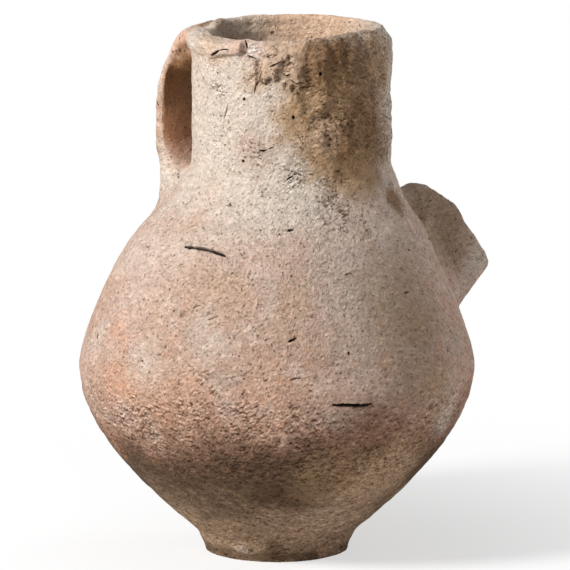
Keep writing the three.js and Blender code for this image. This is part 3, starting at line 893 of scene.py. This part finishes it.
class Graph:
    """A short way to write the nodes of a material or of the world."""

    def __init__(self, owner):
        owner.use_nodes = True
        self.tree = owner.node_tree
        self.tree.nodes.clear()

    def node(self, kind, settings=(), inputs=(), output=0):
        """Adds a node and gives back one of its outputs, or the node itself where output is None."""
        made = self.tree.nodes.new(kind)
        for name, value in dict(settings).items():
            setattr(made, name, value)
        for name, value in dict(inputs).items():
            if isinstance(value, bpy.types.NodeSocket):
                self.tree.links.new(value, made.inputs[name])
            else:
                made.inputs[name].default_value = value
        return made if output is None or not made.outputs else made.outputs[output]

    def noise(self, vector, size, detail=3.0, roughness=0.6, output=0):
        inputs = {"Vector": vector, "Scale": 1 / size, "Detail": detail, "Roughness": roughness}
        return self.node("ShaderNodeTexNoise", inputs=inputs, output=output)

    def sum(self, *terms):
        """The sum of values, each with its weight."""
        total = None
        for value, weight in terms:
            term = self.math("MULTIPLY", value, weight)
            total = term if total is None else self.math("ADD", total, term)
        return total

    def grey(self, value):
        return self.node("ShaderNodeCombineXYZ", inputs={0: value, 1: value, 2: value})

    def span(self, value, low, high, start=0.0, end=1.0):
        """Goes smoothly from start to end while the value goes from low to high."""
        inputs = {"Value": value, "From Min": low, "From Max": high, "To Min": start, "To Max": end}
        return self.node("ShaderNodeMapRange", {"interpolation_type": "SMOOTHSTEP"}, inputs)

    def math(self, operation, one, other):
        return self.node("ShaderNodeMath", {"operation": operation}, {0: one, 1: other})

    def vector(self, operation, one, other, output=0):
        return self.node("ShaderNodeVectorMath", {"operation": operation}, {0: one, 1: other}, output)

    def mix(self, share, one, other, kind="MIX"):
        """Mixes two colours. The node also has sockets for numbers and vectors, so these go by their places."""
        settings = {"data_type": "RGBA", "blend_type": kind}
        return self.node("ShaderNodeMix", settings, {0: share, 6: one, 7: other}, 2)


# Patches of colour: column, row, radius in millimetres, colour, strength
PATCHES = [
    (222, 110, 32, CREAM, 0.8),
    (205, 150, 16, CREAM, 0.6),
    (262, 190, 26, CREAM, 0.7),
    (292, 205, 22, CREAM, 0.7),
    (300, 180, 16, CREAM, 0.5),
    (222, 236, 18, CREAM, 0.35),
    (328, 64, 17, DARK_TAN, 0.9),
    (352, 84, 28, DARK_TAN, 0.85),
    (312, 92, 12, DARK_TAN, 0.3),
    (378, 62, 14, TAN, 0.6),
    (330, 120, 24, DARK_TAN, 0.3),
    (330, 120, 24, TAN, 0.5),
    (330, 158, 15, TAN, 0.8),
    (362, 150, 22, DARK_TAN, 0.9),
    (352, 178, 16, TAN, 0.7),
    (324, 136, 9, SAND, 0.6),
    (300, 115, 8, DARK_TAN, 0.5),
    (272, 68, 12, SAND, 0.8),
    (268, 100, 12, CREAM, 0.5),
    (296, 120, 12, TAN, 0.6),
    (298, 44, 7, SAND, 0.8),
    (252, 150, 10, BUFF, 0.5),
    (312, 22, 30, WARM_SAND, 1.0),
    # Painted shadow inside the mouth, cast by the front-left lip on the inner wall
    (228, 28, 13, DARK_TAN, 0.15),
    (226, 30, 9, UMBER, 0.3),
    (179, 46, 14, PEACH, 0.9),
    (164, 78, 8, PEACH, 0.7),
    (161, 104, 7, PEACH, 0.6),
    (160, 130, 7, PEACH, 0.5),
    (179, 45, 6, ORANGE, 0.4),
    (180, 158, 8, PEACH, 0.7),
    (159, 150, 7, CREAM, 0.4),
    (210, 40, 12, SAND, 0.6),
    (240, 44, 8, PEACH, 0.7),
    (252, 80, 8, TAN, 0.4),
    (184, 170, 12, CREAM, 0.5),
    (206, 272, 15, BUFF, 0.5),
    (228, 292, 13, TAN, 0.3),
    (292, 262, 18, BUFF, 0.5),
    (300, 300, 12, TAN, 0.3),
    (118, 325, 7, ORANGE, 0.4),
    (118, 383, 13, ORANGE, 0.5),
    (122, 385, 4, ORANGE, 0.5),
    (138, 395, 12, ORANGE, 0.3),
    (112, 440, 14, ORANGE, 0.3),
    (180, 405, 14, ORANGE, 0.3),
    (262, 402, 15, ORANGE, 0.3),
    (145, 362, 12, CREAM, 0.35),
    (98, 335, 9, CREAM, 0.4),
    (145, 250, 14, CREAM, 0.4),
    (214, 338, 14, CREAM, 0.2),
    (180, 250, 12, CREAM, 0.3),
    (368, 238, 26, PALE, 0.45),
    (345, 236, 20, GREY, 0.3),
    (372, 251, 4, RUST, 0.35),
    (361, 276, 5, RUST, 0.35),
    (345, 280, 22, GREY, 0.45),
    (352, 322, 18, GREY, 0.4),
    (356, 368, 14, GREY, 0.4),
    (390, 230, 16, GREY, 0.3),
    (364, 234, 5, DARK_TAN, 0.4),
    (360, 425, 14, DARK_TAN, 0.4),
    (444, 420, 10, CREAM, 0.6),
    # Painted bounce light on the underside's right and on the foot, with painted shadow at the sole's edge
    # (272, 551)
    (330, 478, 20, TAN, 0.55),
    (384, 474, 24, TAN, 0.95),
    (388, 474, 22, SAND, 0.5),
    (272, 551, 7, BROWN, 0.7),
    (345, 512, 22, SAND, 0.6),
    (285, 520, 14, SAND, 0.4),
    (330, 550, 8, SAND, 0.6),
    (240, 549, 5, PALE, 0.5),
    (378, 425, 14, RUST, 0.4),
    (394, 200, 9, DARK_TAN, 0.9),
    (404, 295, 26, DUN, 0.55),
    (412, 350, 26, DUN, 0.5),
    (436, 392, 14, TAN, 0.4),
    (432, 215, 24, DUN, 0.75),
    (448, 245, 16, DUN, 0.5),
    (476, 262, 10, CREAM, 0.7),
    (460, 288, 8, CREAM, 0.4),
    # Painted highlights on the lip's crest and beside its notch
    (262, 43, 7, PALE, 0.9),
    (251, 50, 3.5, WHITE, 0.7),
    (362, 32, 4, WHITE, 0.8),
    (276, 43, 6, SAND, 0.8),
    (322, 552, 4, ORANGE, 0.5),
]


def patched(graph, place, base):
    """The base colour with each patch laid on it, its edge warped and frayed by noise."""
    fray = graph.noise(place, 9 * MM, 4, 0.65, "Color")
    warp = graph.vector("MULTIPLY", graph.vector("SUBTRACT", fray, (0.5,) * 3), (16 * MM,) * 3)
    warped = graph.vector("ADD", place, warp)
    colour = base
    for column, row, radius, tint, strength in PATCHES:
        middle, _ = surface_at(column, row)
        away = graph.vector("DISTANCE", warped, tuple(middle), "Value")
        share = graph.span(away, radius * 0.35 * MM, radius * 1.05 * MM, strength, 0.0)
        colour = graph.mix(share, colour, tint)
    return colour


def broad_tones(graph, place, height):
    """Pinkish buff on the belly, cream and tan on the neck, brown under the belly and a paler foot."""
    drift = graph.span(graph.noise(place, 20 * MM, 6, 0.65), 0.3, 0.7, -7 * MM, 7 * MM)
    drifting = graph.math("ADD", height, drift)
    tone = graph.mix(graph.span(graph.noise(place, 34 * MM, 2), 0.38, 0.62), PINK, BUFF)
    tone = graph.mix(graph.span(graph.noise(place, 15 * MM, 4), 0.52, 0.68, 0.0, 0.5), tone, GREY)
    tone = graph.mix(graph.span(graph.noise(place, 21 * MM, 5), 0.56, 0.72, 0.0, 0.5), tone, CREAM)
    neck_tone = graph.mix(graph.span(graph.noise(place, 18 * MM, 4), 0.38, 0.66, 0.0, 0.6), CREAM, SAND)
    tone = graph.mix(graph.span(graph.noise(place, 9 * MM, 5, 0.7), 0.53, 0.66, 0.0, 0.5), tone, ORANGE)
    tone = graph.mix(graph.span(graph.noise(place, 11 * MM, 5, 0.7), 0.53, 0.66, 0.0, 0.55), tone, PALE)
    tone = graph.mix(graph.span(drifting, 92 * MM, 120 * MM, 0.0, 0.45), tone, PALE)
    tone = graph.mix(graph.span(drifting, 128 * MM, 150 * MM), tone, neck_tone)
    tone = graph.mix(graph.span(drifting, 50 * MM, 82 * MM, 0.35, 0.0), tone, ORANGE)
    tone = graph.mix(graph.span(drifting, 42 * MM, 72 * MM, 0.6, 0.0), tone, RUST)
    # Darker brown under the belly, partly the clay's colour and partly painted shade of the underside; paler
    # towards the foot, partly painted bounce light
    tone = graph.mix(graph.span(drifting, 35 * MM, 63 * MM, 1.0, 0.0), tone, BROWN)
    tone = graph.mix(graph.span(drifting, 12 * MM, 36 * MM, 1.0, 0.0), tone, FOOT_BROWN)
    # Painted shadow along the sole's edge
    tone = graph.mix(graph.span(height, 2 * MM, 7 * MM, 0.8, 0.0), tone, BROWN)
    return patched(graph, place, tone)


def pores(graph, place, size, radius, share):
    """Small open pores: 1 in the middle of a pore, 0 between them."""
    wander = graph.vector("SUBTRACT", graph.noise(place, size * 0.4, 2, 0.5, "Color"), (0.5,) * 3)
    wander = graph.vector("MULTIPLY", wander, (size * 0.7,) * 3)
    inputs = {"Vector": graph.vector("ADD", place, wander), "Scale": 1 / size}
    cells = graph.node("ShaderNodeTexVoronoi", inputs=inputs, output=None).outputs
    chance = graph.node("ShaderNodeSeparateXYZ", inputs={"Vector": cells["Color"]})
    open_here = graph.math("LESS_THAN", chance, share)
    dent = graph.span(cells["Distance"], radius * 0.5, radius, 1.0, 0.0)
    return graph.math("MULTIPLY", dent, open_here)


# Grains that carry painted light and shade: their size, how far above and below them the slope is read, both in
# millimetres, and their share
LIT_GRAINS = [(1.1, 0.22, 1.0), (2.6, 0.5, 0.8)]


def painted_grain_light(graph, place, tone, worn):
    """Painted light on the upper side of each grain and painted shade under it, as if lit from above."""
    slopes = []
    for size, reach, share in LIT_GRAINS:
        above = graph.noise(graph.vector("ADD", place, (0, 0, reach * MM)), size * MM, 2, 0.55)
        below = graph.noise(graph.vector("SUBTRACT", place, (0, 0, reach * MM)), size * MM, 2, 0.55)
        slopes.append((graph.math("SUBTRACT", below, above), share))
    total = graph.math("MULTIPLY", graph.sum(*slopes), graph.span(worn, 0.0, 1.0, 0.55, 2.1))
    tone = graph.mix(graph.span(total, 0.0, -0.42), tone, GRAIN_SHADE, "MULTIPLY")
    return graph.mix(graph.span(total, 0.0, 0.42), tone, GRAIN_LIGHT, "MULTIPLY")


def fired_clay():
    material = bpy.data.materials.new("fired_clay")
    graph = Graph(material)
    place = graph.node("ShaderNodeTexCoord", output="Object")
    height = graph.node("ShaderNodeSeparateXYZ", inputs={"Vector": place}, output="Z")
    worn, hollow, soot_and_shade = (
        graph.node("ShaderNodeAttribute", {"attribute_name": name}, output="Fac")
        for name in ("worn", "hollow", "soot_and_shade")
    )
    tone = broad_tones(graph, place, height)

    # Grain, crumbs and wiping marks
    grain = graph.noise(place, 0.8 * MM, 3, 0.7)
    crumbs = graph.noise(place, 2.2 * MM, 6, 0.72)
    lumps = graph.noise(place, 5.5 * MM, 5, 0.62)
    wiped = graph.noise(graph.vector("MULTIPLY", place, (0.35, 0.35, 2.2)), 2.6 * MM, 4, 0.6)
    fine = pores(graph, place, 1.25 * MM, 0.3, 0.4)
    small = pores(graph, place, 2.3 * MM, 0.22, 0.4)
    large = pores(graph, place, 6.5 * MM, 0.12, 0.22)
    sand = graph.node("ShaderNodeTexVoronoi", inputs={"Vector": place, "Scale": 1 / (1.5 * MM)})

    # Relief, in millimetres
    relief = graph.sum(
        (grain, 0.6),
        (crumbs, graph.span(worn, 0.0, 1.0, 1.2, 2.4)),
        (lumps, graph.span(worn, 0.0, 1.0, 0.7, 1.5)),
        (sand, graph.span(worn, 0.0, 1.0, -0.2, -0.75)),
        (wiped, 0.35),
        (fine, -0.35),
        (small, -0.5),
        (large, -0.7),
    )

    # What the relief does to the colour: painted light on its high places and painted shade in its low ones;
    # soil lies in the gaps between sand grains
    relief_for_painted_light = graph.sum((crumbs, 0.5), (grain, 0.25), (lumps, 0.3))
    painted_relief_light = graph.span(relief_for_painted_light, 0.36, 0.69, 0.82, 1.17)
    # Painted light and shade that follow the relief
    tone = graph.mix(1.0, tone, graph.grey(painted_relief_light), "MULTIPLY")
    # Painted light on the upper sides of grains, painted shade under them
    tone = painted_grain_light(graph, place, tone, worn)
    tone = graph.mix(graph.span(graph.noise(place, 2.6 * MM, 3, 0.6), 0.58, 0.72, 0.0, 0.4), tone, RUST)
    tone = graph.mix(graph.span(graph.noise(place, 1.3 * MM, 3, 0.6), 0.62, 0.72, 0.0, 0.55), tone, SOIL)
    gaps = graph.math("MULTIPLY", graph.span(sand, 0.35, 0.8), graph.span(worn, 0.0, 1.0, 0.05, 0.25))
    tone = graph.mix(gaps, tone, SOIL)
    specks = graph.span(graph.noise(place, 1.2 * MM, 2, 0.5), 0.34, 0.25, 0.0, 0.45)
    specks = graph.math("MULTIPLY", specks, graph.span(height, 45 * MM, 65 * MM, 0.15, 1.0))
    tone = graph.mix(specks, tone, WHITE)
    # Painted shade on the handle's inner face, partly a fire-darkened colour: rust low down, darker higher up
    soot_and_shade_tone = graph.mix(graph.span(height, 148 * MM, 176 * MM), RUST, SOOT_AND_SHADE)
    soot_and_shade_tone = graph.mix(1.0, soot_and_shade_tone, graph.grey(painted_relief_light), "MULTIPLY")
    tone = graph.mix(soot_and_shade, tone, soot_and_shade_tone)
    for pore, darkness in ((fine, 0.35), (small, 0.6), (large, 0.85)):
        tone = graph.mix(graph.math("MULTIPLY", pore, darkness), tone, SOIL)
    # Painted shade: pits, straw voids and cracks darken almost to black where they sink in
    tone = graph.mix(graph.span(hollow, 0.1, 1.0, 0.0, 0.95), tone, VOID_SHADE)

    normal = graph.node("ShaderNodeBump", inputs={"Height": relief, "Strength": 1.0, "Distance": 1.3 * MM})
    inputs = {"Base Color": tone, "Roughness": 0.93, "Normal": normal, "Specular IOR Level": 0.25}
    surface = graph.node("ShaderNodeBsdfPrincipled", inputs=inputs)
    graph.node("ShaderNodeOutputMaterial", inputs={"Surface": surface})
    return material


clay = fired_clay()
# Painted shade in the pits, deeper ones darker
pit_shade_depth = np.clip(pitted / (0.45 * MM), 0, 1) * 0.5
worn_share = 0.2 - 0.2 * on_neck + 0.3 * under_belly + 0.15 * near_lap + 0.32 * coarse
worn_share = np.clip(worn_share + 0.7 * flaked + 0.45 * thick, 0, 1)


def with_coarse_inside(piece):
    """Thins a piece's inner wall, which is smooth, to the share that INSIDE_DETAIL gives."""
    places = read_points(piece.data)
    inside = np.flatnonzero(depth_in_skin(places) < -WALL_MIDDLE)
    group = piece.vertex_groups.new(name="inside")
    group.add(inside.tolist(), 1.0, "ADD")
    thin = piece.modifiers.new("thin", "DECIMATE")
    thin.vertex_group = "inside"
    thin.ratio = 1 - (1 - INSIDE_DETAIL[piece.name]) * len(inside) / len(places)
    settle(piece)
    piece.vertex_groups.clear()


def finish_piece(piece, slot, *nodes):
    clear_of_flakes(piece)
    mesh = piece.data
    mesh.materials.clear()
    mesh.materials.append(clay)
    places = read_points(mesh)
    found = [skin_tree.find(place) for place in places]
    nearest = [index for _, index, _ in found]
    cut = np.array([distance for _, _, distance in found]) * (depth_in_skin(places) > -WALL_MIDDLE)
    # Painted shade in pits and on the cut faces of voids, cracks and holes
    hollow = np.maximum(pit_shade_depth[nearest], rise(cut, 0.45 * MM, 1.1 * MM))
    for name, values in (("hollow", hollow), ("worn", worn_share[nearest]), ("soot_and_shade", soot_and_shade[nearest])):
        attribute = mesh.attributes.new(name, "FLOAT", "POINT")
        attribute.data.foreach_set("value", values.astype(np.float32))
    mesh.shade_smooth()
    mesh.set_sharp_from_angle(angle=SHARP_ANGLE)
    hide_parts(*nodes)
    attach(piece, "root")


for name in INSIDE_DETAIL:
    with_coarse_inside(pieces[name])
finish_piece(pieces["fired_foot"], "brown_clay", "foot_disc")
finish_piece(pieces["fired_lower_body"], "brown_clay", "lower_body")
finish_piece(pieces["fired_upper_body"], "pink_clay", "upper_body", "neck_coil")
finish_piece(pieces["fired_neck"], "cream_clay", "neck")
finish_piece(pieces["fired_lip"], "tan_clay", "lip_band", "handle_lap")
finish_piece(pieces["fired_handle"], "pink_clay", "handle", "handle_coil")
finish_piece(pieces["fired_spout"], "tan_clay", "spout", "spout_coil")


# The camera

def photo_camera():
    data = bpy.data.cameras.new("camera")
    data.lens = LENS
    data.sensor_width = SENSOR
    data.clip_start = 0.05
    data.clip_end = 50
    camera = linked("camera", data)
    turn = Matrix((RIGHT, UP, -AHEAD)).transposed()
    camera.matrix_world = Matrix.Translation(CAMERA_PLACE) @ turn.to_4x4()
    bpy.context.scene.camera = camera


# The floor, which shows the shadow near the jug and turns white further out

def background_rays(graph):
    """1 for the rays that look at the background: from the camera, and by reflection or through glass."""
    rays = graph.node("ShaderNodeLightPath", output=None).outputs
    looking = graph.math("MAXIMUM", rays["Is Camera Ray"], rays["Is Glossy Ray"])
    return graph.math("MAXIMUM", looking, rays["Is Transmission Ray"])


def floor_material():
    material = bpy.data.materials.new("floor_paper")
    graph = Graph(material)
    place = graph.node("ShaderNodeTexCoord", output="Object")
    away = graph.vector("LENGTH", place, (0, 0, 0), "Value")
    seen = background_rays(graph)
    paper = graph.mix(seen, shade(0.86, 0.85, 0.84), shade(0.985, 0.985, 0.985))
    matt = graph.node("ShaderNodeBsdfDiffuse", inputs={"Color": paper})
    white = graph.node("ShaderNodeEmission", inputs={"Color": (1, 1, 1, 1), "Strength": 1.0})
    share = graph.math("MULTIPLY", graph.span(away, 0.06, 0.3, 0.55, 1.0), seen)
    surface = graph.node("ShaderNodeMixShader", inputs={0: share, 1: matt, 2: white})
    graph.node("ShaderNodeOutputMaterial", inputs={"Surface": surface})
    return material


def floor():
    half = FLOOR_HALF
    corners = [(-half, -half, 0), (half, -half, 0), (half, half, 0), (-half, half, 0)]
    paper = new_object("floor", corners, [(0, 1, 2, 3)])
    paper.data.materials.append(floor_material())


# Light: a large soft key from the left, a faint one behind the right, and a dim surround

def lamp(name, aside, ahead, height, size, power):
    data = bpy.data.lights.new(name, "AREA")
    data.shape = "DISK"
    data.size = size
    data.energy = power
    light = linked(name, data)
    level = Vector((AHEAD.x, AHEAD.y, 0)).normalized()
    light.location = RIGHT * aside + level * ahead + Vector((0, 0, height))
    light.rotation_euler = (LIT_POINT - light.location).to_track_quat("-Z", "Y").to_euler()


def surround():
    world = bpy.data.worlds.new("surround")
    bpy.context.scene.world = world
    graph = Graph(world)
    dim = graph.node("ShaderNodeBackground", inputs={"Strength": SURROUND_STRENGTH})
    white = graph.node("ShaderNodeBackground", inputs={"Color": (1, 1, 1, 1), "Strength": 1.0})
    surface = graph.node("ShaderNodeMixShader", inputs={0: background_rays(graph), 1: dim, 2: white})
    graph.node("ShaderNodeOutputWorld", inputs={"Surface": surface})


photo_camera()
floor()
lamp("key", aside=-1.15, ahead=-0.8, height=1.05, size=0.45, power=KEY_POWER)
lamp("edge", aside=1.15, ahead=0.7, height=0.45, size=0.7, power=EDGE_POWER)
surround()
bpy.context.scene.view_settings.view_transform = "Standard"
